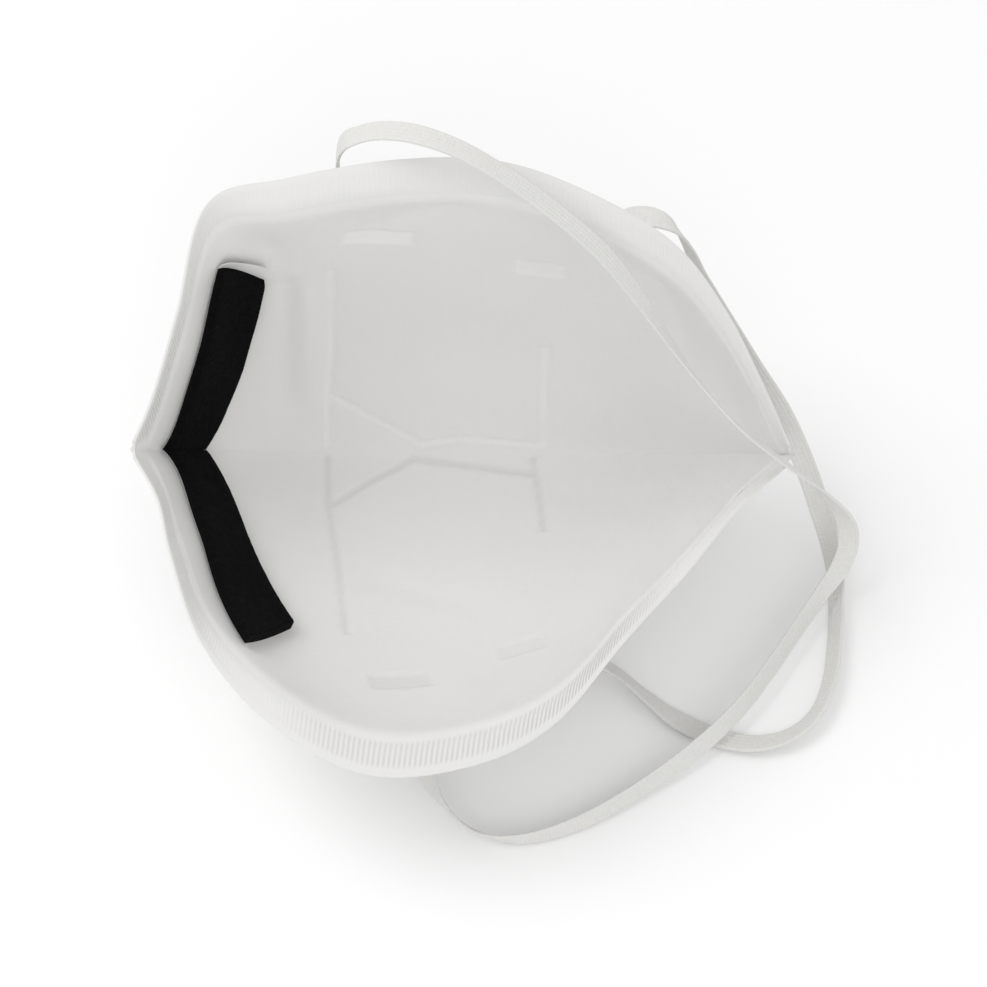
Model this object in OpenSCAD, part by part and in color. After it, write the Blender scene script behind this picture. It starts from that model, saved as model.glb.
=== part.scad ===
// Fold-flat disposable dust mask, lying on its outer face with the open side up.
// Units are millimetres. +X runs from the nose tip to the chin tip, +Z is up.
// The origin is the centre of the footprint on the ground, headbands left out.

/* [Panel] */
// distance from the nose tip to the chin tip
mask_len = 149; // [130:1:170]
// depth from the centre fold to the cheek edge, measured square to the opening
cheek_depth = 79; // [65:1:90]
// distance from the centre plane to the left cheek edge
cheek_half = 70; // [58:1:78]
// how far each panel bows outwards from flat
bulge = 9; // [6:0.5:14]
// radius that softens the centre fold between the seams
fold_r = 6; // [2:0.5:10]
// clearance between the two halves along the centre line
fold_gap = 0.3; // [0.2:0.05:0.6]

/* [Layers] */
// thickness of the inner lining
lining_t = 0.3; // [0.2:0.05:0.5]
// thickness of the melt-blown filter sheet
filter_t = 0.4; // [0.3:0.05:0.8]
// thickness of the soft support felt
support_t = 0.6; // [0.4:0.05:1]
// thickness of the outer cover
cover_t = 0.3; // [0.2:0.05:0.5]
// clearance between neighbouring sheets
ply_gap = 0.1; // [0.05:0.05:0.2]

/* [Edge weld] */
// width of the welded band around the rim
weld_w = 7.4; // [4:0.1:8.5]
// how strongly the band turns outwards to face the open side
flare = 1.15; // [0:0.05:1.4]
// how far in from the rim the turned edge reaches
flare_r = 11; // [8:0.5:14]
// thickness of the pressed band
weld_t = 0.9; // [0.6:0.05:1.4]
// height of the welded fins at the nose and chin seams
fin_h = 3.5; // [2:0.25:5]
// thickness of the welded fins
fin_t = 0.9; // [0.6:0.05:1.4]

/* [Nose fitting] */
// thickness of the nose foam
foam_t = 2.6; // [1.5:0.1:4]
// thickness of the foam's white backing strip
backing_t = 0.2; // [0.1:0.05:0.4]
// thickness of the aluminium nose clip
clip_t = 0.8; // [0.5:0.1:1.2]

/* [Headbands] */
// width of the elastic band
band_w = 5; // [4:0.5:7]
// thickness of the elastic band
band_t = 0.8; // [0.5:0.1:1.2]

/* [Resting pose] */
// roll of the mask about the nose-to-chin line as it lies
roll = 32; // [28:1:36]

/* [Hidden] */

kx = mask_len / 149;
kz = cheek_depth / 79;
ky = cheek_half / 70;
origin_shift = [2.3, 42.4, 1.25];

// sheet faces, measured outwards from the inside face of the lining
lin_0 = 0;
lin_1 = lining_t;
fil_0 = lin_1 + ply_gap;
fil_1 = fil_0 + filter_t;
sup_0 = fil_1 + ply_gap;
sup_1 = sup_0 + support_t;
cov_0 = sup_1 + ply_gap;
cov_1 = cov_0 + cover_t;
weld_0 = 0.3;
weld_1 = weld_0 + weld_t;
trim_gap = 0.4;
foam_0 = trim_gap + backing_t + 0.1;

// centre line from nose tip to chin tip, in the centre plane
seam_pts = [
  [-77, 0, 44], [-71, 0, 33], [-62, 0, 20], [-50, 0, 8], [-35, 0, 1], [-12, 0, 0],
  [10, 0, 0], [32, 0, 1], [46, 0, 8], [58, 0, 20], [66.5, 0, 33], [72, 0, 45]
];
// rim of the left half, nose to chin
left_rim = [
  [-76.5, -1.5, 46], [-70.3, -11.1, 52], [-66.3, -23.6, 60], [-58.7, -42, 68],
  [-44.2, -58.6, 75], [-22.6, -69.4, 79], [0, -67.5, 79], [17.7, -58.9, 76],
  [32.8, -41.8, 70], [46, -27.9, 62], [58.3, -13, 55], [71, -1.8, 48]
];
// rim of the right half, nose to chin
right_rim = [
  [-76.5, 1.5, 46], [-71.5, 12.1, 51], [-65, 31, 60], [-58, 53.4, 69],
  [-41.5, 58.4, 75], [-16.1, 62.4, 79], [6.4, 62, 79], [27.7, 54.4, 77],
  [44.1, 44.8, 72], [55.6, 31, 65], [63.6, 16.8, 57], [71, 1.8, 48]
];

// smooth curve through a list of points, u from 0 to 1
function curve(P, u) =
  let (n = len(P) - 1, t = min(max(u, 0), 1) * n, i = min(floor(t), n - 1), f = t - i)
  let (a = P[max(i - 1, 0)], b = P[i], c = P[i + 1], d = P[min(i + 2, n)])
  0.5 * (2 * b + (c - a) * f + (2 * a - 5 * b + 4 * c - d) * f * f
    + (3 * b - a - 3 * c + d) * f * f * f);

function unit(v) = v / max(norm(v), 1e-9);

function scaled(p) = [kx * p[0], ky * p[1], kz * p[2]];

function seam_at(u) = scaled(curve(seam_pts, u));

function rim_at(side, u) = scaled(curve(side < 0 ? left_rim : right_rim, u));

// share of the full flare: less at the nose, where the clip holds the panel straight
function flare_share(u) =
  let (t = min(max((u - 0.22) / 0.16, 0), 1))
  (0.25 + 0.75 * t * t * (3 - 2 * t)) * pow(max(sin(180 * u), 0), 0.65);

// inside face of a panel: u runs nose to chin, v from the centre line to the rim
function face(side, u, v) =
  let (a = seam_at(u), b = rim_at(side, u), c = b - a)
  let (out = unit([0, side * c[2], -side * c[1]]))
  let (bow = bulge * pow(max(sin(180 * u), 0), 1.3), s = v * norm(c), r = norm(c) - s)
  let (turn = flare * flare_share(u) * r / (1 + pow(r / flare_r, 3)) * (1 - pow(1 - v, 3)))
  let (lift = 0.6 * (sqrt(s * s + fold_r * fold_r) - s) * pow(sin(180 * u), 2))
  a + c * v + out * (bow * 4 * v * (1 - v) - turn) + [0, 0, lift];

// outward direction of a panel
function outward(side, u, v) =
  let (e = 0.004)
  let (du = face(side, min(u + e, 1), v) - face(side, max(u - e, 0), v))
  let (dv = face(side, u, min(v + e, 1)) - face(side, u, max(v - e, 0)))
  -side * unit(cross(du, dv));

// outward direction on the centre line, kept in the centre plane
function mitre(u) =
  let (n = outward(1, u, 0), r = norm([n[0], n[2]]))
  [n[0], 0, n[2]] / r / max(r, 0.6);

// point at depth d outside the lining; w is signed, left half negative
function skin(u, w, d) =
  abs(w) < 0.0001
    ? face(1, u, 0) + mitre(u) * d
    : face(sign(w), u, abs(w)) + outward(sign(w), u, abs(w)) * d;

// the same point, held on its own side of the fold
function half_skin(side, u, v, d) =
  let (p = skin(u, side * v, d))
  [p[0], side * max(side * p[1], fold_gap / 2), p[2]];

// lays the mask down on its side
function lay(p) = [
  p[0] + origin_shift[0],
  p[1] * cos(roll) - p[2] * sin(roll) + origin_shift[1],
  p[1] * sin(roll) + p[2] * cos(roll) + origin_shift[2]
];

function width_at(side, u) = 1.06 * norm(rim_at(side, u) - seam_at(u));

// inner border of the rim weld
function weld_v(side, u) = 1 - min(0.62, weld_w / width_at(side, u));

// triangles of a closed slab whose two faces are grids of n by m squares
function slab_faces(n, m) =
  let (k = (n + 1) * (m + 1))
  [
    for (i = [0:n - 1]) for (j = [0:m - 1])
      let (a = i * (m + 1) + j, b = a + 1, c = a + m + 2, d = a + m + 1)
      each [[a, b, c], [a, c, d], [k + a, k + c, k + b], [k + a, k + d, k + c]],
    for (i = [0:n - 1])
      let (a = i * (m + 1), d = a + m + 1, b = a + m, c = d + m)
      each [[a, d, k + d], [a, k + d, k + a], [b, k + b, k + c], [b, k + c, c]],
    for (j = [0:m - 1])
      let (a = j, b = j + 1, c = n * (m + 1) + j, d = c + 1)
      each [[a, k + a, k + b], [a, k + b, b], [c, d, k + d], [c, k + d, k + c]]
  ];

// closed slab between two grids of points
module slab(A, B, n, m, flip = false) {
  F = slab_faces(n, m);
  polyhedron(
    points = concat([for (r = A) each r], [for (r = B) each r]),
    faces = flip ? [for (f = F) [f[0], f[2], f[1]]] : F,
    convexity = 8
  );
}

// stations across a sheet, closer together towards the rim
function even(t) = t * (1.35 - 0.35 * t);

// one sheet of one half, from the centre line out to the rim weld
module sheet(side, d0, d1, n = 32, m = 11) {
  A = [for (i = [0:n]) [for (j = [0:m])
    let (u = i / n, e = weld_v(side, u) - 0.25 / width_at(side, u))
    lay(half_skin(side, u, e * even(j / m), d0))]];
  B = [for (i = [0:n]) [for (j = [0:m])
    let (u = i / n, e = weld_v(side, u) - 0.25 / width_at(side, u))
    lay(half_skin(side, u, e * even(j / m), d1))]];
  slab(A, B, n, m, side < 0);
}

// welded rim band of one half
module rim_weld(side, n = 32) {
  A = [for (i = [0:n]) [for (j = [0:3])
    let (u = i / n, e = weld_v(side, u)) lay(half_skin(side, u, e + (1 - e) * j / 3, weld_0))]];
  B = [for (i = [0:n]) [for (j = [0:3])
    let (u = i / n, e = weld_v(side, u)) lay(half_skin(side, u, e + (1 - e) * j / 3, weld_1))]];
  slab(A, B, n, 3, side < 0);
}

// welded fin standing on the centre line between two stations
module fin(u0, u1, n = 12) {
  A = [for (i = [0:n]) [for (j = [0:1])
    let (t = i / n, u = u0 + (u1 - u0) * t, h = fin_h * min(1, 0.25 + 4 * t * (1 - t)))
    let (p = skin(u, 0, cov_1 + 0.1) + unit(mitre(u)) * h * j)
    lay([p[0], -fin_t / 2, p[2]])]];
  B = [for (i = [0:n]) [for (j = [0:1])
    let (t = i / n, u = u0 + (u1 - u0) * t, h = fin_h * min(1, 0.25 + 4 * t * (1 - t)))
    let (p = skin(u, 0, cov_1 + 0.1) + unit(mitre(u)) * h * j)
    lay([p[0], fin_t / 2, p[2]])]];
  slab(A, B, n, 1, true);
}

// edges of the nose strip on each half, from the fold to the end: u and v outside, u and v inside
strip_left = [
  [0.069, 0, 0.148, 0], [0.158, 0.468, 0.224, 0.263], [0.22, 0.66, 0.275, 0.425],
  [0.275, 0.77, 0.323, 0.545], [0.33, 0.868, 0.367, 0.642]
];
strip_right = [
  [0.069, 0, 0.148, 0], [0.133, 0.427, 0.206, 0.225], [0.181, 0.608, 0.254, 0.357],
  [0.224, 0.703, 0.296, 0.508], [0.265, 0.795, 0.333, 0.698]
];
strip_steps = 16;

// point of the nose strip: s runs from the left end to the right, t across, d is the depth
function strip_at(s, t, d) =
  let (e = curve(s < 0 ? strip_left : strip_right, abs(s)))
  skin(e[0] + (e[2] - e[0]) * t, sign(s) * (e[1] + (e[3] - e[1]) * t), d);

// nose strip from step k0 on the left to step k1 on the right, between t0 and t1 across
module nose_strip(k0, k1, t0, t1, d0, d1, m = 3) {
  A = [for (i = [-k0:k1]) [for (j = [0:m]) lay(strip_at(i / strip_steps, t0 + (t1 - t0) * j / m, d0))]];
  B = [for (i = [-k0:k1]) [for (j = [0:m]) lay(strip_at(i / strip_steps, t0 + (t1 - t0) * j / m, d1))]];
  slab(A, B, k0 + k1, m, d1 > d0);
}

// headband routes on the ground frame: x, y, z, then the direction of the band's width
crown_route = [
  [-9.7, 59.2, 69.5, 0.2, -0.1, 1], [-15.6, 58.8, 70.8, 0.2, -0.1, 1], [-21.4, 58.9, 73, 0, 0.2, 1],
  [-25.9, 60.9, 77.1, -0.2, 0.7, 0.6], [-28, 62.9, 82.8, 0, 0.95, 0.2],
  [-28, 63.3, 89.1, 0, 1, 0], [-26.9, 61.9, 95.6, 0, 1, 0.1],
  [-24.4, 59.4, 101.3, 0, 0.95, -0.1], [-18.6, 56.4, 107.3, 0, 0.95, -0.1],
  [-10.6, 53.4, 110.1, 0, 0.95, 0], [-0.6, 49.6, 109.4, 0, 0.95, 0],
  [10.4, 44.8, 105.3, 0.1, 0.95, 0], [20.9, 39.6, 99.6, 0.2, 0.9, 0],
  [29.9, 34.9, 93, 0.3, 0.85, 0], [38.4, 29.1, 84.1, 0.2, 0.85, -0.1],
  [45.4, 24.2, 74.6, 0, 0.85, -0.3], [52.7, 19.8, 64.8, -0.2, 0.8, -0.5],
  [61.7, 15.4, 54.9, -0.3, 0.8, -0.5], [72.2, 13.1, 44.9, -0.2, 0.8, -0.5],
  [81.4, 12.8, 34.1, -0.5, 0.7, -0.5], [88.2, 11.6, 23.8, -0.9, 0.4, -0.1],
  [90.4, 9.2, 15.6, -1, 0.1, 0.2], [88.7, 5.2, 10.8, -0.7, 0.3, 0.6],
  [84.7, 0.1, 8.1, -0.4, 0.4, 0.8], [78.4, -8.9, 6.6, -0.3, 0.4, 0.8],
  [71.4, -19.4, 6.4, -0.3, 0.4, 0.8], [63.9, -29.4, 6, -0.3, 0.4, 0.8],
  [53.9, -39.1, 5, -0.3, 0.4, 0.8], [40.7, -48.7, 3.5, -0.2, 0.4, 0.9],
  [26.9, -56.7, 2.8, -0.1, 0.3, 0.9], [13.9, -60.7, 2.8, 0, 0, 1],
  [3.4, -59.2, 3.2, 0.2, -0.5, 0.8], [-3.6, -53.6, 5, 0.4, -0.6, 0.6],
  [-7.6, -46.2, 6.9, 0.7, -0.6, 0.4], [-9.7, -38.6, 9, 0.8, -0.4, 0.2],
  [-12.7, -32.9, 11.1, 0.7, -0.6, 0.2], [-18.1, -30.4, 13.2, 0.3, -0.85, 0.45],
  [-24.6, -29.8, 14.7, 0.1, -0.88, 0.46]
];
neck_route = [
  [11, 59.5, 59.5, 0, 0, 1], [16.8, 58.7, 59.7, 0, 0.1, 1], [22.6, 57.9, 60.9, -0.2, 0.3, 0.9],
  [27.8, 57.8, 63.9, -0.4, 0.8, 0.5], [31.8, 58.9, 68.4, -0.3, 0.9, 0.1],
  [34.9, 59.2, 72.6, -0.1, 1, 0], [38, 58, 76.2, -0.1, 1, 0], [42.3, 56, 78.3, -0.1, 1, 0],
  [46.9, 54, 77.1, -0.3, 0.9, -0.2], [50.2, 52.7, 71.8, -0.4, 0.7, -0.5],
  [52.9, 51.4, 65.3, -0.5, 0.6, -0.5], [56.3, 49, 59.3, -0.6, 0.5, -0.5],
  [61, 45.2, 52.8, -0.6, 0.5, -0.6], [67.2, 38.8, 44.3, -0.8, 0.3, -0.5],
  [73.4, 31.8, 37.3, -0.9, 0, -0.4], [78, 26.6, 29.6, -0.9, -0.2, -0.3],
  [81.7, 22.8, 21.3, -0.9, -0.3, -0.4], [84.6, 19.4, 13.8, -0.7, -0.3, -0.5],
  [87.2, 14.8, 7.8, -0.7, -0.2, -0.6], [88.7, 7.6, 4.2, -0.7, -0.1, -0.7],
  [88.4, -1.9, 2.9, -0.6, 0, -0.8], [87.4, -11.4, 2.7, -0.6, 0, -0.8],
  [85.4, -21.2, 2.7, -0.6, 0.1, -0.8], [81.4, -29.4, 2.6, -0.4, 0.5, -0.7],
  [74.9, -34.6, 2.2, -0.1, 0.8, -0.5], [66.9, -36.2, 1.6, 0, 0.9, -0.3],
  [58.4, -34.2, 1.1, -0.1, 1, -0.1], [49.9, -30.1, 1.2, -0.3, 0.9, -0.1],
  [43.4, -25.1, 2.2, -0.4, 0.9, -0.2], [36.4, -19.5, 3.8, -0.4, 0.9, -0.3],
  [28.6, -16.2, 6.6, -0.1, 0.9, -0.35], [19.4, -17, 10.5, -0.15, 0.88, -0.45],
  [10.2, -19.4, 10, -0.19, 0.88, -0.43]
];

function pos_of(r) = [r[0], r[1], r[2]];
function dir_of(r) = [r[3], r[4], r[5]];

// flat elastic band swept along a route
module band(route, n) {
  C = [for (r = route) pos_of(r)];
  W = [for (r = route) dir_of(r)];
  P = [for (i = [0:n])
    let (u = i / n, p = curve(C, u), t = unit(curve(C, u + 0.004) - curve(C, u - 0.004)))
    let (w0 = curve(W, u), w = unit(w0 - t * (w0 * t)), b = cross(t, w))
    each [
      p + w * band_w / 2 + b * band_t / 2,
      p - w * band_w / 2 + b * band_t / 2,
      p - w * band_w / 2 - b * band_t / 2,
      p + w * band_w / 2 - b * band_t / 2
    ]];
  F = concat(
    [[0, 1, 2], [0, 2, 3], [4 * n, 4 * n + 2, 4 * n + 1], [4 * n, 4 * n + 3, 4 * n + 2]],
    [for (i = [0:n - 1]) for (j = [0:3])
      let (a = 4 * i + j, b = 4 * i + (j + 1) % 4)
      each [[a, b + 4, b], [a, a + 4, b + 4]]]
  );
  polyhedron(points = P, faces = F, convexity = 10);
}

module outer_cover_left() {
  color("white") sheet(-1, cov_0, cov_1);
}

module support_felt_left() {
  color("gainsboro") sheet(-1, sup_0, sup_1);
}

module filter_sheet_left() {
  color("whitesmoke") sheet(-1, fil_0, fil_1);
}

module inner_lining_left() {
  color("ivory") sheet(-1, lin_0, lin_1);
}

module edge_weld_left() {
  color("silver") rim_weld(-1);
}

module outer_cover_right() {
  color("white") sheet(1, cov_0, cov_1);
}

module support_felt_right() {
  color("gainsboro") sheet(1, sup_0, sup_1);
}

module filter_sheet_right() {
  color("whitesmoke") sheet(1, fil_0, fil_1);
}

module inner_lining_right() {
  color("ivory") sheet(1, lin_0, lin_1);
}

module edge_weld_right() {
  color("silver") rim_weld(1);
}

module nose_seam_weld() {
  color("silver") fin(0.22, 0.38);
}

module chin_seam_weld() {
  color("silver") fin(0.66, 0.95);
}

module nose_clip() {
  color("lightsteelblue") nose_strip(12, 12, 0.3, 0.75, cov_1 + 0.7, cov_1 + 0.7 + clip_t, 1);
}

module foam_backing() {
  color("snow") nose_strip(15, 16, 0, 1, -trim_gap, -trim_gap - backing_t);
}

module nose_foam() {
  color("black") nose_strip(15, 15, 0, 1, -foam_0, -foam_0 - foam_t);
}

module crown_headband() {
  color("beige") band(crown_route, 56);
}

module neck_headband() {
  color("beige") band(neck_route, 44);
}

outer_cover_left();
support_felt_left();
filter_sheet_left();
inner_lining_left();
edge_weld_left();
outer_cover_right();
support_felt_right();
filter_sheet_right();
inner_lining_right();
edge_weld_right();
nose_seam_weld();
chin_seam_weld();
nose_clip();
foam_backing();
nose_foam();
crown_headband();
neck_headband();
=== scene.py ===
"""Disposable dust mask: fabric, foam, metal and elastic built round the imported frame."""
import math

import bpy
import numpy as np
from mathutils import Matrix, Vector


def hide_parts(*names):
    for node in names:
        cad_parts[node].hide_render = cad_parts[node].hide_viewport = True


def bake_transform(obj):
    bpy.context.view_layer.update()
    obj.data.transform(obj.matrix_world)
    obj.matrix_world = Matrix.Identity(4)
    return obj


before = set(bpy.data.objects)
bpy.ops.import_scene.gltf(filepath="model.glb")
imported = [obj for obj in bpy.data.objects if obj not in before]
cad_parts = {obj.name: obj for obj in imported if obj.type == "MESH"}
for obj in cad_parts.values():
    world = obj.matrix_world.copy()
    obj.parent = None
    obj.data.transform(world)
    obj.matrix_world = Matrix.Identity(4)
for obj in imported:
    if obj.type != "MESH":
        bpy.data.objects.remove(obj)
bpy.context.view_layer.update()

MM = 0.001

# ---------------------------------------------------------------- the mask's own shape, in mm
# roll of the mask about its length as it lies, and the shift from its own axes to the frame
ROLL = math.radians(32)
SHIFT = np.array([2.3, 42.4, 1.25])
# outward arch of a panel between the fold and the rim, and the rounding of the fold itself
BULGE = 9.0
FOLD_R = 6.0
# width of the rim weld, how strongly the panel turns out there, and over what distance
WELD_W = 7.4
FLARE = 1.15
FLARE_R = 11.0
# width and thickness of the headbands' elastic
BAND_W = 5.0
BAND_T = 0.8
# rough run of the panel from nose to chin, for the fabric's grain
NOSE_TO_CHIN = 190
# small step along a surface or a route, as a share of it, for finding its slope
NEAR = 0.004

SEAM = np.array([
    [-77, 0, 44], [-71, 0, 33], [-62, 0, 20], [-50, 0, 8], [-35, 0, 1], [-12, 0, 0],
    [10, 0, 0], [32, 0, 1], [46, 0, 8], [58, 0, 20], [66.5, 0, 33], [72, 0, 45]], float)
LEFT_RIM = np.array([
    [-76.5, -1.5, 46], [-70.3, -11.1, 52], [-66.3, -23.6, 60], [-58.7, -42, 68],
    [-44.2, -58.6, 75], [-22.6, -69.4, 79], [0, -67.5, 79], [17.7, -58.9, 76],
    [32.8, -41.8, 70], [46, -27.9, 62], [58.3, -13, 55], [71, -1.8, 48]], float)
RIGHT_RIM = np.array([
    [-76.5, 1.5, 46], [-71.5, 12.1, 51], [-65, 31, 60], [-58, 53.4, 69],
    [-41.5, 58.4, 75], [-16.1, 62.4, 79], [6.4, 62, 79], [27.7, 54.4, 77],
    [44.1, 44.8, 72], [55.6, 31, 65], [63.6, 16.8, 57], [71, 1.8, 48]], float)

# edges of the nose strip on each half, from the fold to the end: u and v outside, u and v inside
STRIP_LEFT = np.array([
    [0.069, 0, 0.148, 0], [0.158, 0.468, 0.224, 0.263], [0.22, 0.66, 0.275, 0.425],
    [0.275, 0.77, 0.323, 0.545], [0.33, 0.868, 0.367, 0.642]], float)
STRIP_RIGHT = np.array([
    [0.069, 0, 0.148, 0], [0.133, 0.427, 0.206, 0.225], [0.181, 0.608, 0.254, 0.357],
    [0.224, 0.703, 0.296, 0.508], [0.265, 0.795, 0.333, 0.698]], float)

# sheet faces, in mm outwards from the inside of the lining
LINING = (0.0, 0.3)
FILTER = (0.4, 0.8)
FELT = (0.9, 1.5)
COVER = (1.6, 1.9)
WELD = (0.3, 1.2)
CLIP = (2.6, 3.4)
BACKING = (-0.4, -0.6)
FOAM = (-0.7, -3.3)


def curve(points, u):
    """Smooth curve through a list of points, u from 0 to 1."""
    n = len(points) - 1
    t = np.clip(u, 0, 1) * n
    i = np.minimum(np.floor(t).astype(int), n - 1)
    f = (t - i)[..., None]
    a, b = points[np.maximum(i - 1, 0)], points[i]
    c, d = points[i + 1], points[np.minimum(i + 2, n)]
    return 0.5 * (2 * b + (c - a) * f + (2 * a - 5 * b + 4 * c - d) * f ** 2
                  + (3 * b - a - 3 * c + d) * f ** 3)


def unit(v):
    return v / np.maximum(np.linalg.norm(v, axis=-1, keepdims=True), 1e-9)


def flare_share(u):
    """Share of the full flare: less at the nose, where the clip holds the panel straight."""
    t = np.clip((u - 0.22) / 0.16, 0, 1)
    return (0.25 + 0.75 * t * t * (3 - 2 * t)) * np.maximum(np.sin(np.pi * u), 0) ** 0.65


def face(side, u, v):
    """Inside face of a panel: u runs nose to chin, v from the centre line to the rim."""
    a = curve(SEAM, u)
    c = curve(LEFT_RIM if side < 0 else RIGHT_RIM, u) - a
    out = unit(np.stack([0 * u, side * c[..., 2], -side * c[..., 1]], -1))
    arch = np.maximum(np.sin(np.pi * u), 0)
    s = v * np.linalg.norm(c, axis=-1)
    lift = 0.6 * (np.sqrt(s * s + FOLD_R ** 2) - s) * arch ** 2
    r = np.linalg.norm(c, axis=-1) - s
    turn = FLARE * flare_share(u) * r / (1 + (r / FLARE_R) ** 3) * (1 - (1 - v) ** 3)
    p = a + c * v[..., None] + out * (BULGE * arch ** 1.3 * 4 * v * (1 - v) - turn)[..., None]
    p[..., 2] += lift
    return p


def outward(side, u, v):
    """Direction out of the mask, square to the panel."""
    du = face(side, np.minimum(u + NEAR, 1), v) - face(side, np.maximum(u - NEAR, 0), v)
    dv = face(side, u, np.minimum(v + NEAR, 1)) - face(side, u, np.maximum(v - NEAR, 0))
    return -side * unit(np.cross(du, dv))


def half_skin(side, u, v, depth):
    """Point of one half at a depth outside the lining, kept on its own side of the fold."""
    p = face(side, u, v) + outward(side, u, v) * depth[..., None]
    reach = v * panel_width(side, u)
    p[..., 1] = side * np.maximum(side * p[..., 1], 0.02 * reach)
    return p


def panel_width(side, u):
    """Length of the fabric from the centre line to the rim, with a little over for its arch."""
    rim = curve(LEFT_RIM if side < 0 else RIGHT_RIM, u)
    return 1.06 * np.linalg.norm(rim - curve(SEAM, u), axis=-1)


def skin(u, w, depth):
    """Point at a depth outside the lining; w is signed, and the left half is negative."""
    u, w, depth = np.broadcast_arrays(np.asarray(u, float), w, depth)
    left = half_skin(-1, u, np.abs(w), depth)
    right = half_skin(1, u, np.abs(w), depth)
    n = outward(1, u, 0 * u)
    r = np.hypot(n[..., 0], n[..., 2])
    flat = np.stack([n[..., 0], 0 * r, n[..., 2]], -1) / (r * np.maximum(r, 0.6))[..., None]
    middle = face(1, u, 0 * u) + flat * depth[..., None]
    on_fold = (np.abs(w) < 1e-4)[..., None]
    return np.where(on_fold, middle, np.where((w < 0)[..., None], left, right))


def lay(p):
    """From the mask's own axes to the frame, in metres."""
    y, z = p[..., 1], p[..., 2]
    q = np.stack([p[..., 0], y * math.cos(ROLL) - z * math.sin(ROLL),
                  y * math.sin(ROLL) + z * math.cos(ROLL)], -1)
    return (q + SHIFT) * MM


def smooth(a, b, x):
    """0 below a, 1 above b, and a soft step between."""
    t = np.clip((x - a) / (b - a), 0, 1)
    return t * t * (3 - 2 * t)


# ---------------------------------------------------------------- how the fabric is formed
# soft dents: nose-to-chin place, place across (left half negative), both radii, depth in mm outwards
DENTS = [
    (0.328, 0.720, 0.028, 0.075, 1.3), (0.460, 0.830, 0.045, 0.060, 0.6),
    (0.400, 0.490, 0.060, 0.120, 0.6), (0.520, 0.740, 0.050, 0.080, -0.5),
    (0.660, 0.600, 0.050, 0.180, 0.7), (0.740, 0.340, 0.035, 0.150, -0.5),
    (0.830, 0.400, 0.030, 0.180, 0.6), (0.480, -0.490, 0.070, 0.120, 0.6),
    (0.560, -0.750, 0.060, 0.080, -0.4), (0.700, -0.460, 0.050, 0.160, 0.7),
    (0.790, -0.340, 0.030, 0.150, -0.4), (0.620, 0.220, 0.060, 0.100, 0.4),
]
# creases: both ends, half width in mm, depth in mm outwards
CREASES = [
    ((0.343, 0.555), (0.314, 0.173), 3.0, 0.9), ((0.360, 0.535), (0.348, 0.160), 2.6, -0.5),
    ((0.430, 0.760), (0.500, 0.860), 3.2, 0.5), ((0.760, 0.480), (0.700, 0.780), 3.2, 0.5),
    ((0.860, 0.320), (0.890, 0.700), 2.4, 0.4), ((0.700, -0.22), (0.800, -0.58), 3.6, 0.5),
    ((0.600, -0.11), (0.740, -0.18), 3.4, 0.5), ((0.420, -0.36), (0.520, -0.42), 3.6, 0.45),
    ((0.860, -0.27), (0.900, -0.70), 2.6, -0.4),
]
# pressed stiffening lines, as runs of points
LINES = [
    [(0.388, 0.588), (0.378, 0.318), (0.367, 0.160), (0.362, 0.018)],
    [(0.367, 0.173), (0.410, 0.092), (0.453, 0.018)],
    [(0.453, 0.018), (0.492, 0.035), (0.573, 0.018)], [(0.578, 0.315), (0.575, 0.147), (0.573, 0.018)],
    [(0.362, -0.022), (0.371, -0.160), (0.390, -0.325), (0.411, -0.545)],
    [(0.374, -0.160), (0.409, -0.080), (0.445, -0.018)], [(0.445, -0.018), (0.504, -0.035), (0.568, -0.058)],
    [(0.565, -0.018), (0.574, -0.103), (0.584, -0.215)],
]
LINE_HALF = 0.75
# painted light of the pressed lines: painted shade on the left half and painted highlight on the right half,
# for how light falls on each half
LINE_PAINTED_LIGHT = (-0.075, 0.05)
# pressed patches where the headbands are welded on: both ends, and the painted light of each, painted
# highlight on the right half and painted shade on the left
PATCHES = [
    ((0.404, 0.728), (0.458, 0.690), 0.07), ((0.552, 0.592), (0.599, 0.607), 0.04),
    ((0.441, -0.692), (0.494, -0.660), -0.06), ((0.556, -0.596), (0.602, -0.590), -0.012),
]
PATCH_HALF = 2.6
# distance over which the sheets come together before the rim weld, and what pressing takes off them
SETTLE_RUN = 3.2
PRESSED_OFF = 0.44
# slow unevenness of the whole laminate: waves along and across, and their phase
RNG = np.random.default_rng(11)
WAVES = [(RNG.uniform(0.05, 0.30) * (1 if k % 2 else -1), RNG.uniform(0.05, 0.30), RNG.uniform(0, 6.28))
         for k in range(14)]


def soften(u, w):
    """0 on the centre line, the rim and both tips, and 1 on the open panel."""
    return (smooth(0.01, 0.10, np.abs(w)) * (1 - smooth(0.86, 0.95, np.abs(w)))
            * smooth(0.02, 0.10, u) * (1 - smooth(0.92, 0.98, u)))


def plain(u, w):
    """The formed surface before dents, in mm."""
    return skin(u, w, 0 * u)


def away(p, a, b):
    """Distance of points from a straight run between two points."""
    t = np.clip(((p - a) @ (b - a)) / max((b - a) @ (b - a), 1e-9), 0, 1)
    return np.linalg.norm(p - a - t[..., None] * (b - a), axis=-1)


def at(u, w):
    """One place on the formed surface."""
    return plain(np.array([float(u)]), np.array([float(w)]))[0]


def dents(u, w, p=None):
    """Depth in mm by which the whole laminate is pushed outwards."""
    p = plain(u, w) if p is None else p
    d = 0 * u
    for cu, cw, ru, rw, depth in DENTS:
        d += depth * np.exp(-((u - cu) / ru) ** 2 - ((w - cw) / rw) ** 2)
    for a, b, half, depth in CREASES:
        d += depth * np.exp(-(away(p, at(*a), at(*b)) / half) ** 2)
    for kx, ky, phase in WAVES:
        d += 0.035 * np.sin(kx * p[..., 0] + ky * p[..., 1] + phase)
    return d * soften(u, w)


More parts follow.
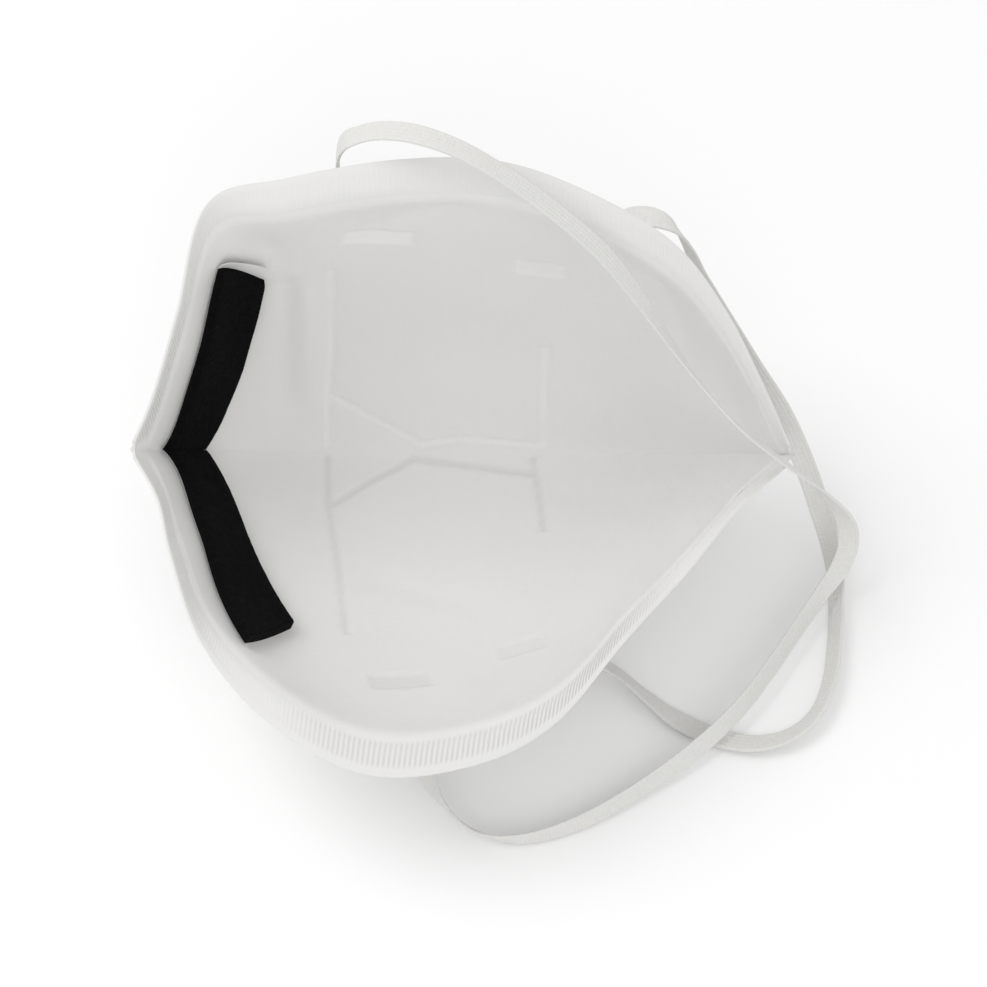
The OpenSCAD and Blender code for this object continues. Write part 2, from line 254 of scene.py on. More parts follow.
def line_press(u, w, p):
    """1 in the pressed lines, 0 elsewhere."""
    k = 0 * u
    for run in LINES:
        for a, b in zip(run, run[1:]):
            k = np.maximum(k, 1 - smooth(LINE_HALF - 0.35, LINE_HALF + 0.45, away(p, at(*a), at(*b))))
    return k


def patch_press(u, w, p, a, b):
    """1 in a pressed oblong between two places, 0 elsewhere."""
    a, b = at(*a), at(*b)
    along = unit(b - a)
    mid, half = (a + b) / 2, np.linalg.norm(b - a) / 2
    run = np.abs((p - mid) @ along)
    side_way = np.linalg.norm(p - mid - ((p - mid) @ along)[..., None] * along, axis=-1)
    return ((1 - smooth(half - 0.5, half + 0.5, run))
            * (1 - smooth(PATCH_HALF - 0.4, PATCH_HALF + 0.5, side_way)))


def pressed(u, w):
    """How far the laminate is pressed, 0 to 1, and the painted shade and highlight given to it there."""
    p = plain(u, w)
    lines = line_press(u, w, p)
    # painted light: the lines are coloured darker on the left half and lighter on the right half
    k, tone = lines, lines * np.where(w < 0, *LINE_PAINTED_LIGHT)
    # each patch adds its painted light to the lines' painted light
    for a, b, shade in PATCHES:
        spot = patch_press(u, w, p, a, b)
        k, tone = np.maximum(k, spot), tone + spot * shade
    return k, tone


def border(u, w):
    """Share of the panel's width taken up to the inner border of the rim weld."""
    width = np.where(w < 0, panel_width(-1, u), panel_width(1, u))
    tips = smooth(0.0, 0.022, np.minimum(u, 1 - u))
    return (1 - np.minimum(0.62, WELD_W / width)) * (0.08 + 0.92 * tips)


def settle(u, w, depth, press):
    """Depth of a sheet face once the laminate is pressed at the rim, the lines and the patches."""
    p = plain(u, w)
    width = np.where(w < 0, panel_width(-1, u), panel_width(1, u))
    to_weld = (border(u, w) - np.abs(w)) * width
    thin = np.maximum(1 - smooth(0.0, SETTLE_RUN, to_weld), 1 - smooth(0.0, 0.03, np.minimum(u, 1 - u)))
    middle, weld_middle = COVER[1] / 2, (WELD[0] + WELD[1]) / 2
    ratio = (WELD[1] - WELD[0]) / COVER[1]
    d = depth + (weld_middle + (depth - middle) * ratio - depth) * thin
    d = middle + (d - middle) * (1 - PRESSED_OFF * press * (1 - thin))
    return d + dents(u, w, p)


def direction(x, y, z):
    """A direction from the mask's own axes to the frame."""
    return Vector(lay(np.array([x, y, z], float)) - lay(np.zeros(3)))


def place(x, y, z):
    """A point from the mask's own axes to the frame."""
    return Vector(lay(np.array([x, y, z], float)))


# ---------------------------------------------------------------- camera
# focal length, the eye's height above the mask's own axes, the point it looks at, and its turn
LENS = 92
EYE_HEIGHT = 620
AIM = (4.7, -9.4, 46)
CAMERA_TURN = math.radians(0.45)


def make_camera():
    """Square above the open side, as the photograph looks into the mask."""
    data = bpy.data.cameras.new("camera")
    data.sensor_width = 36
    data.lens = LENS
    cam = bpy.data.objects.new("camera", data)
    bpy.context.scene.collection.objects.link(cam)
    eye, aim = place(0, 0, EYE_HEIGHT), place(*AIM)
    back = (eye - aim).normalized()
    up = direction(0, 1, 0).normalized()
    right = up.cross(back).normalized()
    up = back.cross(right)
    turn = Matrix.Rotation(CAMERA_TURN, 3, back)
    right, up = turn @ right, turn @ up
    m = Matrix((right, up, back)).transposed().to_4x4()
    m.translation = eye
    cam.matrix_world = m
    bpy.context.scene.camera = cam


make_camera()


# ---------------------------------------------------------------- node helpers
class Nodes:
    """Short way to build a material's node tree."""

    def __init__(self, name):
        self.material = bpy.data.materials.new(name)
        self.material.use_nodes = True
        self.tree = self.material.node_tree
        self.shader = self.tree.nodes["Principled BSDF"]

    def add(self, kind, **values):
        node = self.tree.nodes.new(kind)
        for key, value in values.items():
            if hasattr(node, key):
                setattr(node, key, value)
            else:
                node.inputs[key.replace("_", " ").capitalize()].default_value = value
        return node

    def link(self, a, b):
        self.tree.links.new(a, b)

    def uv(self, scale):
        coords = self.add("ShaderNodeTexCoord")
        mapping = self.add("ShaderNodeMapping")
        mapping.inputs["Scale"].default_value = scale
        self.link(coords.outputs["UV"], mapping.inputs["Vector"])
        return mapping.outputs["Vector"]

    def noise(self, vector, scale, detail=4.0, rough=0.6, distortion=0.0):
        node = self.add("ShaderNodeTexNoise")
        node.inputs["Scale"].default_value = scale
        node.inputs["Detail"].default_value = detail
        node.inputs["Roughness"].default_value = rough
        node.inputs["Distortion"].default_value = distortion
        self.link(vector, node.inputs["Vector"])
        return node.outputs["Fac"]

    def math(self, operation, a, b):
        node = self.add("ShaderNodeMath", operation=operation)
        for value, socket in ((a, node.inputs[0]), (b, node.inputs[1])):
            if isinstance(value, (int, float)):
                socket.default_value = value
            else:
                self.link(value, socket)
        return node.outputs[0]

    def ramp(self, value, stops):
        node = self.add("ShaderNodeValToRGB")
        elements = node.color_ramp.elements
        while len(elements) < len(stops):
            elements.new(0.5)
        for element, (position, colour) in zip(elements, stops):
            element.position = position
            element.color = (*colour, 1)
        self.link(value, node.inputs["Fac"])
        return node.outputs["Color"]

    def shaded(self, colour, amount):
        """Colour made lighter or darker by the mesh's own shade attribute, which holds painted highlight and
        painted shade.
        """
        shade = self.add("ShaderNodeAttribute", attribute_name="shade")
        gain = self.math("ADD", self.math("MULTIPLY", shade.outputs["Fac"], amount), 1.0)
        node = self.add("ShaderNodeVectorMath", operation="SCALE")
        self.link(colour, node.inputs[0])
        self.link(gain, node.inputs["Scale"])
        return node.outputs[0]

    def bump(self, height, strength, distance):
        node = self.add("ShaderNodeBump")
        node.inputs["Strength"].default_value = strength
        node.inputs["Distance"].default_value = distance
        self.link(height, node.inputs["Height"])
        self.link(node.outputs["Normal"], self.shader.inputs["Normal"])

    def set(self, **values):
        for key, value in values.items():
            self.shader.inputs[key.replace("_", " ").title().replace("Ior", "IOR")].default_value = value


def nonwoven(name, light, dark, bond=0.0, fibre=1.0):
    """Spunbond web: crossed fine fibres, and pressed bond points where bond is above 0."""
    n = Nodes(name)
    cloud = n.noise(n.uv((1, 1, 1)), 9, 3, 0.5)
    fibres_a = n.noise(n.uv((240, 1400, 1)), 1.0, 5, 0.7, 1.5)
    fibres_b = n.noise(n.uv((1500, 260, 1)), 1.0, 5, 0.7, 1.5)
    web = n.math("ADD", fibres_a, fibres_b)
    tone = n.math("ADD", n.math("MULTIPLY", cloud, 0.6), n.math("MULTIPLY", web, 0.2))
    # the painted shade and highlight of the shade attribute are multiplied into the fabric's colour
    colour = n.shaded(n.ramp(tone, [(0.25, dark), (0.75, light)]), 1.0)
    n.link(colour, n.shader.inputs["Base Color"])
    height = n.math("MULTIPLY", web, fibre)
    if bond:
        dots = n.add("ShaderNodeTexVoronoi", voronoi_dimensions="2D")
        dots.inputs["Scale"].default_value = 1.0
        dots.inputs["Randomness"].default_value = 0.0
        n.link(n.uv((700, 700, 1)), dots.inputs["Vector"])
        pit = n.math("MULTIPLY", n.math("MINIMUM", dots.outputs["Distance"], 0.35), bond)
        height = n.math("ADD", height, pit)
    n.bump(height, 0.35, 0.00012)
    n.set(roughness=0.88, sheen_weight=0.18, sheen_roughness=0.6)
    n.shader.inputs["Specular IOR Level"].default_value = 0.25
    return n.material


def foam_material():
    n = Nodes("nose_foam")
    fine = n.noise(n.uv((1, 1, 1)), 900, 5, 0.7)
    cells = n.add("ShaderNodeTexVoronoi", voronoi_dimensions="3D")
    cells.inputs["Scale"].default_value = 1600
    n.link(n.uv((1, 1, 1)), cells.inputs["Vector"])
    height = n.math("ADD", fine, n.math("MULTIPLY", cells.outputs["Distance"], 1.2))
    n.link(n.ramp(fine, [(0.3, (0.0025, 0.0025, 0.003)), (0.75, (0.006, 0.006, 0.0065))]),
           n.shader.inputs["Base Color"])
    n.bump(height, 0.7, 0.0002)
    n.set(roughness=0.95)
    n.shader.inputs["Specular IOR Level"].default_value = 0.06
    return n.material


def elastic_material():
    n = Nodes("elastic")
    along = n.add("ShaderNodeTexWave", wave_type="BANDS", bands_direction="X")
    along.inputs["Scale"].default_value = 1.0
    along.inputs["Distortion"].default_value = 1.5
    n.link(n.uv((420, 60, 1)), along.inputs["Vector"])
    across = n.add("ShaderNodeTexWave", wave_type="BANDS", bands_direction="Y")
    across.inputs["Scale"].default_value = 1.0
    n.link(n.uv((1, 380, 1)), across.inputs["Vector"])
    thread = n.noise(n.uv((500, 2500, 1)), 1.0, 4, 0.6)
    weave = n.math("ADD", n.math("MULTIPLY", along.outputs["Fac"], 0.5),
                   n.math("MULTIPLY", across.outputs["Fac"], 0.6))
    height = n.math("ADD", weave, n.math("MULTIPLY", thread, 0.8))
    n.link(n.ramp(thread, [(0.2, (0.66, 0.655, 0.635)), (0.8, (0.75, 0.745, 0.725))]),
           n.shader.inputs["Base Color"])
    n.bump(height, 0.35, 0.00015)
    n.set(roughness=0.8, sheen_weight=0.15, sheen_roughness=0.5)
    n.shader.inputs["Specular IOR Level"].default_value = 0.3
    return n.material


def aluminium_material():
    n = Nodes("clip_aluminium")
    brushed = n.noise(n.uv((60, 3000, 1)), 1.0, 4, 0.6)
    n.link(n.ramp(brushed, [(0.3, (0.60, 0.60, 0.61)), (0.7, (0.74, 0.74, 0.75))]),
           n.shader.inputs["Base Color"])
    rough = n.math("ADD", n.math("MULTIPLY", brushed, 0.2), 0.28)
    n.link(rough, n.shader.inputs["Roughness"])
    n.bump(brushed, 0.1, 0.00005)
    n.set(metallic=1.0)
    return n.material


# the two tones of the pale fabric
LIGHT = (0.775, 0.770, 0.757)
DARK = (0.740, 0.735, 0.722)
MATERIALS = {
    "outer_fabric": nonwoven("outer_fabric", LIGHT, DARK, bond=2.0),
    "felt": nonwoven("felt", (0.76, 0.76, 0.75), (0.72, 0.72, 0.71), fibre=1.6),
    "filter_fabric": nonwoven("filter_fabric", (0.78, 0.78, 0.77), (0.75, 0.75, 0.74), fibre=0.6),
    "lining_fabric": nonwoven("lining_fabric", LIGHT, DARK, bond=1.0),
    "welded_fabric": nonwoven("welded_fabric", (0.74, 0.735, 0.722), (0.705, 0.70, 0.688), fibre=0.5),
    "foam_backing": nonwoven("foam_backing", (0.79, 0.785, 0.775), (0.76, 0.755, 0.745), fibre=0.4),
    "clip_aluminium": aluminium_material(),
    "nose_foam": foam_material(),
    "elastic": elastic_material(),
}


# ---------------------------------------------------------------- mesh helpers
def new_piece(name, points, faces, uvs, slot, shade=None):
    """Mesh piece with smooth faces, sharp borders, a UV map in metres and a painted light-and-shade value
    for each point.
    """
    mesh = bpy.data.meshes.new(name)
    mesh.from_pydata([tuple(p) for p in points], [], faces)
    layer = mesh.uv_layers.new(name="flat")
    index = np.empty(len(mesh.loops), int)
    mesh.loops.foreach_get("vertex_index", index)
    layer.data.foreach_set("uv", np.asarray(uvs, float)[index].astype(np.float32).ravel())
    if shade is not None:
        tones = mesh.attributes.new("shade", "FLOAT", "POINT")
        tones.data.foreach_set("value", shade.astype(np.float32).ravel())
    mesh.shade_smooth()
    mesh.set_sharp_from_angle(angle=math.radians(50))
    mesh.materials.append(MATERIALS[slot])
    piece = bpy.data.objects.new(name, mesh)
    bpy.context.scene.collection.objects.link(piece)
    return piece


def slab_faces(n, m):
    """Faces of a closed slab between two grids of n by m squares."""
    i, j = np.meshgrid(np.arange(n), np.arange(m), indexing="ij")
    a = (i * (m + 1) + j).ravel()
    k = (n + 1) * (m + 1)
    b, c, d = a + 1, a + m + 2, a + m + 1
    front = np.stack([a, b, c, d], 1)
    back = np.stack([a + k, d + k, c + k, b + k], 1)
    row = np.arange(n) * (m + 1)
    s0 = np.stack([row, row + m + 1, row + m + 1 + k, row + k], 1)
    s1 = np.stack([row + m, row + m + k, row + 2 * m + 1 + k, row + 2 * m + 1], 1)
    col = np.arange(m)
    t0 = np.stack([col, col + k, col + 1 + k, col + 1], 1)
    end = col + n * (m + 1)
    t1 = np.stack([end, end + 1, end + 1 + k, end + k], 1)
    return np.concatenate([front, back, s0, s1, t0, t1])


def slab(name, front, back, flat, slot, flip=False, shade=None):
    """Closed piece between two grids of points; flat gives each grid point's place on the flat cut."""
    n, m = front.shape[0] - 1, front.shape[1] - 1
    faces = slab_faces(n, m)
    if flip:
        faces = faces[:, ::-1]
    points = np.concatenate([front.reshape(-1, 3), back.reshape(-1, 3)])
    uvs = np.concatenate([flat.reshape(-1, 2)] * 2)
    shades = None if shade is None else np.concatenate([shade.ravel()] * 2)
    return new_piece(name, points, faces.tolist(), uvs, slot, shades)


def bend_with_fold(piece):
    """Bakes the piece's placement into its mesh points."""
    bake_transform(piece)


# ---------------------------------------------------------------- headbands
# stations along each band: its middle, in mm in the frame, and the direction of its width
CROWN_ROUTE = np.array([
    [-9.7, 59.2, 69.5, 0.2, -0.1, 1], [-15.6, 58.8, 70.8, 0.2, -0.1, 1], [-21.4, 58.9, 73, 0, 0.2, 1],
    [-25.9, 60.9, 77.1, -0.2, 0.7, 0.6], [-28, 62.9, 82.8, 0, 0.95, 0.2],
    [-28, 63.3, 89.1, 0, 1, 0], [-26.9, 61.9, 95.6, 0, 1, 0.1],
    [-24.4, 59.4, 101.3, 0, 0.95, -0.1], [-18.6, 56.4, 107.3, 0, 0.95, -0.1],
    [-10.6, 53.4, 110.1, 0, 0.95, 0], [-0.6, 49.6, 109.4, 0, 0.95, 0],
    [10.4, 44.8, 105.3, 0.1, 0.95, 0], [20.9, 39.6, 99.6, 0.2, 0.9, 0],
    [29.9, 34.9, 93, 0.3, 0.85, 0], [38.4, 29.1, 84.1, 0.2, 0.85, -0.1],
    [45.4, 24.2, 74.6, 0, 0.85, -0.3], [52.7, 19.8, 64.8, -0.2, 0.8, -0.5],
    [61.7, 15.4, 54.9, -0.3, 0.8, -0.5], [72.2, 13.1, 44.9, -0.2, 0.8, -0.5],
    [81.4, 12.8, 34.1, -0.5, 0.7, -0.5], [88.2, 11.6, 23.8, -0.9, 0.4, -0.1],
    [90.4, 9.2, 15.6, -1, 0.1, 0.2], [88.7, 5.2, 10.8, -0.7, 0.3, 0.6],
    [84.7, 0.1, 8.1, -0.4, 0.4, 0.8], [78.4, -8.9, 6.6, -0.3, 0.4, 0.8],
    [71.4, -19.4, 6.4, -0.3, 0.4, 0.8], [63.9, -29.4, 6, -0.3, 0.4, 0.8],
    [53.9, -39.1, 5, -0.3, 0.4, 0.8], [40.7, -48.7, 3.5, -0.2, 0.4, 0.9],
    [26.9, -56.7, 2.8, -0.1, 0.3, 0.9], [13.9, -60.7, 2.8, 0, 0, 1],
    [3.4, -59.2, 3.2, 0.2, -0.5, 0.8], [-3.6, -53.6, 5, 0.4, -0.6, 0.6],
    [-7.6, -46.2, 6.9, 0.7, -0.6, 0.4], [-9.7, -38.6, 9, 0.8, -0.4, 0.2],
    [-12.7, -32.9, 11.1, 0.7, -0.6, 0.2], [-18.1, -30.4, 13.2, 0.3, -0.85, 0.45],
    [-24.6, -29.8, 14.7, 0.1, -0.88, 0.46]], float)
NECK_ROUTE = np.array([
    [11, 59.5, 59.5, 0, 0, 1], [16.8, 58.7, 59.7, 0, 0.1, 1], [22.6, 57.9, 60.9, -0.2, 0.3, 0.9],
    [27.8, 57.8, 63.9, -0.4, 0.8, 0.5], [31.8, 58.9, 68.4, -0.3, 0.9, 0.1],
    [34.9, 59.2, 72.6, -0.1, 1, 0], [38, 58, 76.2, -0.1, 1, 0], [42.3, 56, 78.3, -0.1, 1, 0],
    [46.9, 54, 77.1, -0.3, 0.9, -0.2], [50.2, 52.7, 71.8, -0.4, 0.7, -0.5],
    [52.9, 51.4, 65.3, -0.5, 0.6, -0.5], [56.3, 49, 59.3, -0.6, 0.5, -0.5],
    [61, 45.2, 52.8, -0.6, 0.5, -0.6], [67.2, 38.8, 44.3, -0.8, 0.3, -0.5],
    [73.4, 31.8, 37.3, -0.9, 0, -0.4], [78, 26.6, 29.6, -0.9, -0.2, -0.3],
    [81.7, 22.8, 21.3, -0.9, -0.3, -0.4], [84.6, 19.4, 13.8, -0.7, -0.3, -0.5],
    [87.2, 14.8, 7.8, -0.7, -0.2, -0.6], [88.7, 7.6, 4.2, -0.7, -0.1, -0.7],
    [88.4, -1.9, 2.9, -0.6, 0, -0.8], [87.4, -11.4, 2.7, -0.6, 0, -0.8],
    [85.4, -21.2, 2.7, -0.6, 0.1, -0.8], [81.4, -29.4, 2.6, -0.4, 0.5, -0.7],
    [74.9, -34.6, 2.2, -0.1, 0.8, -0.5], [66.9, -36.2, 1.6, 0, 0.9, -0.3],
    [58.4, -34.2, 1.1, -0.1, 1, -0.1], [49.9, -30.1, 1.2, -0.3, 0.9, -0.1],
    [43.4, -25.1, 2.2, -0.4, 0.9, -0.2], [36.4, -19.5, 3.8, -0.4, 0.9, -0.3],
    [28.6, -16.2, 6.6, -0.1, 0.9, -0.35], [19.4, -17, 10.5, -0.15, 0.88, -0.45],
    [10.2, -19.4, 10, -0.19, 0.88, -0.43]], float)


def band_profile():
    """Half-round edges and five lengthwise ridges, as (across, through) in mm."""
    top = []
    for a in np.linspace(-1, 1, 21):
        across = a * (BAND_W / 2 - 0.15)
        ridge = 0.05 * math.cos(5 * math.pi * a)
        top.append((across, BAND_T / 2 - 0.06 + ridge))
    bottom = [(a, -b) for a, b in reversed(top)]
    edge = BAND_W / 2
    return np.array(top + [(edge, 0.15), (edge, -0.15)] + bottom + [(-edge, -0.15), (-edge, 0.15)])


def headband(name, node, route, rings):
    """Flat elastic swept along its route, welded to the mask at both ends."""
    u = np.linspace(0, 1, rings)
    centre = curve(route[:, :3], u)
    after, before = np.minimum(u + NEAR, 1), np.maximum(u - NEAR, 0)
    tangent = unit(curve(route[:, :3], after) - curve(route[:, :3], before))
    wide = curve(route[:, 3:], u)
    wide = unit(wide - tangent * (wide * tangent).sum(-1, keepdims=True))
    thick = np.cross(tangent, wide)
    profile = band_profile()
    k = len(profile)
    points = (centre[:, None] + wide[:, None] * profile[None, :, :1]
              + thick[:, None] * profile[None, :, 1:]) * MM
    run = np.concatenate([[0], np.cumsum(np.linalg.norm(np.diff(centre, axis=0), axis=1))])
    girth = np.cumsum(np.linalg.norm(np.roll(profile, -1, 0) - profile, axis=1))
    uvs = np.stack(np.broadcast_arrays(girth[None, :], run[:, None]), -1) * MM
    faces = []
    for i in range(rings - 1):
        for j in range(k):
            a, b = i * k + j, i * k + (j + 1) % k
            faces.append((a, a + k, b + k, b))
    faces.append(tuple(range(k)))
    faces.append(tuple(range(rings * k - 1, (rings - 1) * k - 1, -1)))
    piece = new_piece(name, points.reshape(-1, 3), faces, uvs.reshape(-1, 2), "elastic")
    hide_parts(node)
    bend_with_fold(piece)


headband("crown_headband_elastic", "crown_headband", CROWN_ROUTE, 480)
headband("neck_headband_elastic", "neck_headband", NECK_ROUTE, 360)


# ---------------------------------------------------------------- sheets
def flat_place(u, w):
    """Rough place on the flat cut, in metres, for the fabric's grain."""
    width = np.where(w < 0, panel_width(-1, u), panel_width(1, u))
    return np.stack([u * NOSE_TO_CHIN, w * width], -1) * MM


def sheet_grid(n, m):
    """Grid of stations over both halves, ending at the rim weld."""
    u, t = np.meshgrid(np.linspace(0, 1, n + 1), np.linspace(-1, 1, 2 * m + 1), indexing="ij")
    return u, t * border(u, t)


def sheet(name, nodes, faces_at, slot, n, m):
    """One sheet of the laminate in one piece over both halves."""
    u, w = sheet_grid(n, m)
    press, shade = pressed(u, w)
    front = lay(skin(u, w, settle(u, w, 0 * u + faces_at[0], press)))
    back = lay(skin(u, w, settle(u, w, 0 * u + faces_at[1], press)))
    piece = slab(name, front, back, flat_place(u, w), slot, shade=shade)
    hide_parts(*nodes)
    bend_with_fold(piece)


sheet("inner_lining_sheet", ("inner_lining_left", "inner_lining_right"), LINING, "lining_fabric", 300, 165)
sheet("filter_sheet", ("filter_sheet_left", "filter_sheet_right"), FILTER, "filter_fabric", 150, 84)
sheet("support_felt", ("support_felt_left", "support_felt_right"), FELT, "felt", 150, 84)
sheet("outer_cover", ("outer_cover_left", "outer_cover_right"), COVER, "outer_fabric", 260, 140)


# ---------------------------------------------------------------- rim weld and seam fins
# pitch of the rim's ribs, mesh steps to a rib, how far each face is pressed in, and the painted shade in its
# grooves
RIB_PITCH = 1.15
RIB_STEPS = 6
RIB_FRONT = 0.30
RIB_BACK = 0.26
RIB_PAINTED_SHADE = -0.10
# share of the full depth that the faint ribs keep
RIB_FAINT = 0.12
# height of the seam fins, half their thickness, and the pitch and depth of their crimps
FIN_TALL = 3.5
FIN_HALF = 0.45
CRIMP_PITCH = 1.3
CRIMP_DEPTH = 0.16


def rib_depth(side, u):
    """The ribs are pressed deep along the left rim and beside the nose, and faint elsewhere."""
    if side < 0:
        return RIB_FAINT + (1 - RIB_FAINT) * smooth(0.36, 0.43, u) * (1 - smooth(0.70, 0.84, u))
    return RIB_FAINT + (1 - RIB_FAINT) * (1 - smooth(0.17, 0.23, u))


def rim_stations(side):
    """Stations along the rim, a whole number to each rib, and the distance run."""
    fine = np.linspace(0, 1, 2001)
    rim = curve(LEFT_RIM if side < 0 else RIGHT_RIM, fine)
    run = np.concatenate([[0], np.cumsum(np.linalg.norm(np.diff(rim, axis=0), axis=1))])
    ribs = round(run[-1] / RIB_PITCH)
    s = np.linspace(0, run[-1], ribs * RIB_STEPS + 1)
    return np.interp(s, run, fine), s * ribs / run[-1]


def rim_weld(side):
    """Pressed band round one half's rim, with its row of fine cross ribs."""
    name = "edge_weld_left" if side < 0 else "edge_weld_right"
    along, rib = rim_stations(side)
    inner_edge, outer_edge = [0, 0.02, 0.05, 0.09], [0.75, 0.80, 0.85, 0.91, 0.96, 1]
    across = np.concatenate([inner_edge, np.linspace(0.14, 0.70, 9), outer_edge])
    u, t = np.meshgrid(along, across, indexing="ij")
    k = np.meshgrid(rib, across, indexing="ij")[0]
    e = border(u, 0 * u + side)
    w = side * (e + (1 - e) * t)
    full = smooth(2.5, 5.5, (1 - e) * panel_width(side, u))
    groove = (0.5 - 0.5 * np.cos(2 * np.pi * (k + 0.3 * t))) ** 1.4
    groove = groove * smooth(0.03, 0.12, t) * (1 - smooth(0.72, 0.82, t)) * (0.25 + 0.75 * full)
    groove = groove * rib_depth(side, u)
    thin = 0.18 * smooth(0.86, 1.0, t)
    front = lay(skin(u, w, WELD[0] + RIB_FRONT * groove + thin))
    back = lay(skin(u, w, WELD[1] - RIB_BACK * groove - thin))
    # painted shade: the rib grooves are coloured darker
    piece = slab(name + "_band", front, back, flat_place(u, w), "welded_fabric",
                 flip=side < 0, shade=RIB_PAINTED_SHADE * groove)
    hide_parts(name)
    bend_with_fold(piece)


rim_weld(-1)
rim_weld(1)


def fin(name, node, u0, u1):
    """Welded fin on the centre line, crimped along its height."""
    t, j = np.meshgrid(np.linspace(0, 1, 241), np.linspace(0, 1, 11), indexing="ij")
    u = u0 + (u1 - u0) * t
    root = skin(u, 0 * u, 0 * u + COVER[1] + 0.1)
    out = unit(skin(u, 0 * u, 0 * u + 3) - skin(u, 0 * u, 0 * u + 1))
    tall = FIN_TALL * np.minimum(1, 0.25 + 4 * t * (1 - t))
    p = root + out * (tall * j)[..., None]
    crimp = CRIMP_DEPTH * (0.5 - 0.5 * np.cos(t * (u1 - u0) * NOSE_TO_CHIN * 2 * np.pi / CRIMP_PITCH))
    crimp = crimp * smooth(0.1, 0.25, j) * (1 - smooth(0.75, 0.9, j))
    half = (FIN_HALF - crimp - 0.12 * smooth(0.85, 1, j))[..., None] * np.array([0, 1, 0])
    flat = np.stack([u * NOSE_TO_CHIN, j * FIN_TALL], -1) * MM
    # painted shade: the crimps' hollows are coloured darker
    piece = slab(name, lay(p - half), lay(p + half), flat, "welded_fabric", flip=True, shade=-0.3 * crimp)
    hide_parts(node)
    bend_with_fold(piece)


fin("nose_seam_fin", "nose_seam_weld", 0.22, 0.38)
fin("chin_seam_fin", "chin_seam_weld", 0.66, 0.95)


# ---------------------------------------------------------------- nose fittings
# how far the foam and the clip reach, as a share of the strip's half length
FOAM_REACH = 15 / 16
CLIP_REACH = 0.75
# rough half length and width of the strip, in mm, for its grain
STRIP_HALF = 45
STRIP_WIDE = 11
# how far the backing's free end stands off, in mm
FLAP_LIFT = 2.0


def strip_place(s, t):
    """Place on the panels of a point of the nose strip: s runs along it, t across.

    Its right end is cut on a slant, and both ends are kept straight across their width.
    """
    slant = smooth(0.76, FOAM_REACH, s) * (0.013 + 0.052 * t)
    square = smooth(0.80, FOAM_REACH, np.abs(s)) * 0.012 * 4 * t * (1 - t)
    s = s - slant - np.sign(s) * square
    left, right = curve(STRIP_LEFT, np.abs(s)), curve(STRIP_RIGHT, np.abs(s))
    e = np.where((s < 0)[..., None], left, right)
    u = e[..., 0] + (e[..., 2] - e[..., 0]) * t
    return u, np.sign(s) * (e[..., 1] + (e[..., 3] - e[..., 1]) * t)


def nose_strip(name, node, ends, t0, t1, under, over, slot, n, m):
    """Closed strip across the nose; under and over give its two depths over the s, t grid."""
    s, t = np.meshgrid(np.linspace(ends[0], ends[1], n + 1), np.linspace(0, 1, m + 1), indexing="ij")
    u, w = strip_place(s, t0 + (t1 - t0) * t)
    sag = dents(u, w)
    front = lay(skin(u, w, sag + under(s, t)))
    back = lay(skin(u, w, sag + over(s, t)))
    flat = np.stack([s * STRIP_HALF, t * STRIP_WIDE], -1) * MM
    outside = np.mean(over(s, t) - under(s, t)) > 0
    piece = slab(name, front, back, flat, slot, flip=not outside)
    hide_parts(node)
    bend_with_fold(piece)
    return piece


def end_round(s, t, reach, length):
    """How far a strip's end is rounded off, 0 along it and 1 at its corners."""
    return smooth(reach - length, reach, np.abs(s)) * np.abs(2 * t - 1) ** 2


def grain(s, t, size, seed):
    """Fixed small roughness for cut foam."""
    rng = np.random.default_rng(seed)
    g = 0 * s
    for _ in range(24):
        a, b, c = rng.uniform(-1, 1), rng.uniform(-1, 1), rng.uniform(0, 6.28)
        g += np.sin((a * s * STRIP_HALF + b * t * STRIP_WIDE) * 2 * np.pi / size + c)
    return g / 24


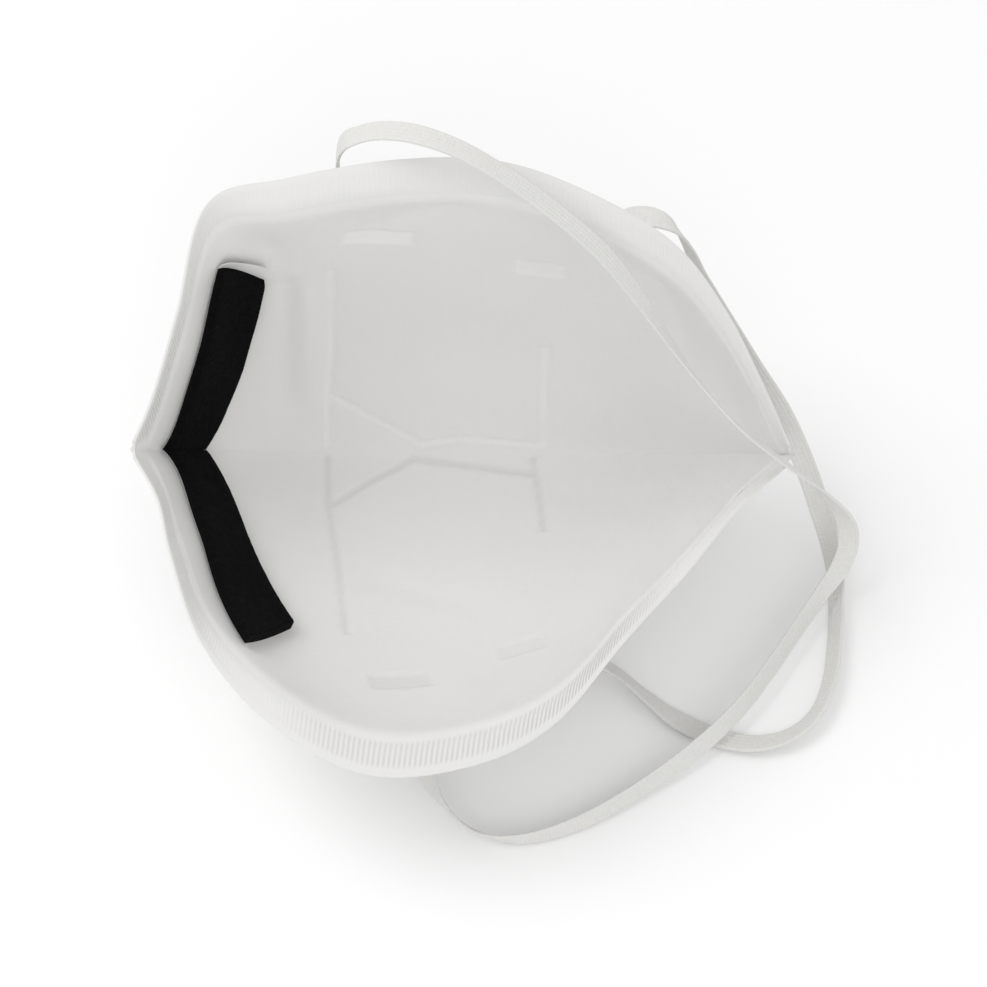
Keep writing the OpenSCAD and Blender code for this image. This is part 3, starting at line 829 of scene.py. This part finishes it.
nose_strip("aluminium_nose_clip", "nose_clip", (-CLIP_REACH, CLIP_REACH), 0.3, 0.75,
           lambda s, t: CLIP[0] + 0.25 * end_round(s, t, CLIP_REACH, 0.03),
           lambda s, t: CLIP[1] - 0.25 * end_round(s, t, CLIP_REACH, 0.03) - 0.25 * np.abs(2 * t - 1) ** 6,
           "clip_aluminium", 180, 12)
nose_strip("foam_backing_strip", "foam_backing", (-FOAM_REACH, 1.0), 0.035, 0.965,
           lambda s, t: BACKING[0] - FLAP_LIFT * smooth(FOAM_REACH - 0.01, 1.03, s),
           lambda s, t: BACKING[1] - FLAP_LIFT * smooth(FOAM_REACH - 0.01, 1.03, s),
           "foam_backing", 240, 12)
foam = nose_strip("nose_foam_pad", "nose_foam", (-FOAM_REACH, FOAM_REACH), 0.0, 1.0,
                  lambda s, t: FOAM[0] + 0 * s,
                  lambda s, t: FOAM[1] + 0.35 * np.abs(2 * t - 1) ** 8 + 0.16 * grain(s, t, 1.6, 3)
                  + 0.3 * smooth(FOAM_REACH - 0.012, FOAM_REACH, np.abs(s)),
                  "nose_foam", 420, 40)


# ---------------------------------------------------------------- floor and light
def make_floor():
    """Pale table top under the mask."""
    mesh = bpy.data.meshes.new("floor")
    s = 3.0
    mesh.from_pydata([(-s, -s, 0), (s, -s, 0), (s, s, 0), (-s, s, 0)], [], [(0, 1, 2, 3)])
    n = Nodes("floor")
    n.set(roughness=0.9)
    n.shader.inputs["Base Color"].default_value = (0.93, 0.93, 0.93, 1)
    n.shader.inputs["Specular IOR Level"].default_value = 0.1
    mesh.materials.append(n.material)
    floor = bpy.data.objects.new("floor", mesh)
    bpy.context.scene.collection.objects.link(floor)


def area_light(name, position, size, power):
    """Round soft light that faces the middle of the mask."""
    data = bpy.data.lights.new(name, "AREA")
    data.shape = "DISK"
    data.size = size
    data.energy = power
    light = bpy.data.objects.new(name, data)
    light.location = position
    light.rotation_mode = "QUATERNION"
    light.rotation_quaternion = (Vector(position) - Vector((0, 0, 0.04))).to_track_quat("Z", "Y")
    bpy.context.scene.collection.objects.link(light)


def make_light():
    """Key, fill and an even pale surround."""
    area_light("key", (-0.65, 0.25, 1.0), 0.8, 4.5)
    area_light("fill", (0.2, -1.0, 0.7), 1.2, 3.2)
    world = bpy.data.worlds.new("studio")
    world.use_nodes = True
    world.node_tree.nodes["Background"].inputs["Color"].default_value = (1, 1, 1, 1)
    world.node_tree.nodes["Background"].inputs["Strength"].default_value = 0.78
    bpy.context.scene.world = world
    bpy.context.scene.view_settings.view_transform = "Standard"


make_floor()
make_light()
